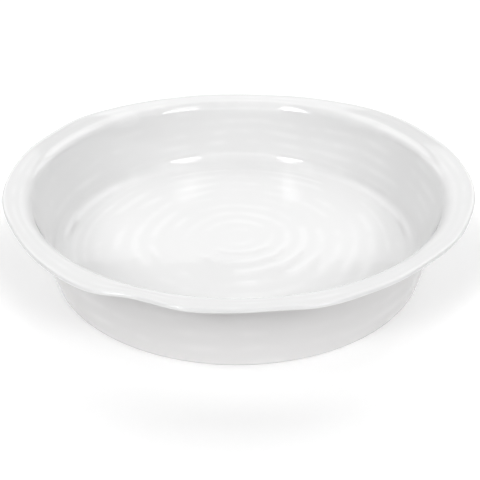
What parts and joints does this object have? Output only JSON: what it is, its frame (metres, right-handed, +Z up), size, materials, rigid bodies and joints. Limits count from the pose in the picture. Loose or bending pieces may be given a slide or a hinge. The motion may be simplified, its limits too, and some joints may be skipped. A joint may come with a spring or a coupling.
{
  "type": "pie dish",
  "caption": "Round white glazed porcelain pie dish with a flat ringed floor, a sloping wall, a broad flared rim with a waved outline, and a low foot ring.",
  "frame": {"origin": "middle of the foot ring, on the surface that the dish stands on", "axes": "+Z up along the axis that the dish was thrown about; +X and +Y level, with the waved rim's deepest waves towards -Y"},
  "size_m": [0.2712, 0.268, 0.052],
  "materials": {
    "glazed_porcelain": "clear glossy glaze over white porcelain, bare only where the foot ring stands"
  },
  "bodies": {
    "root": {"pie_dish": "glazed_porcelain"}
  },
  "joints": []
}
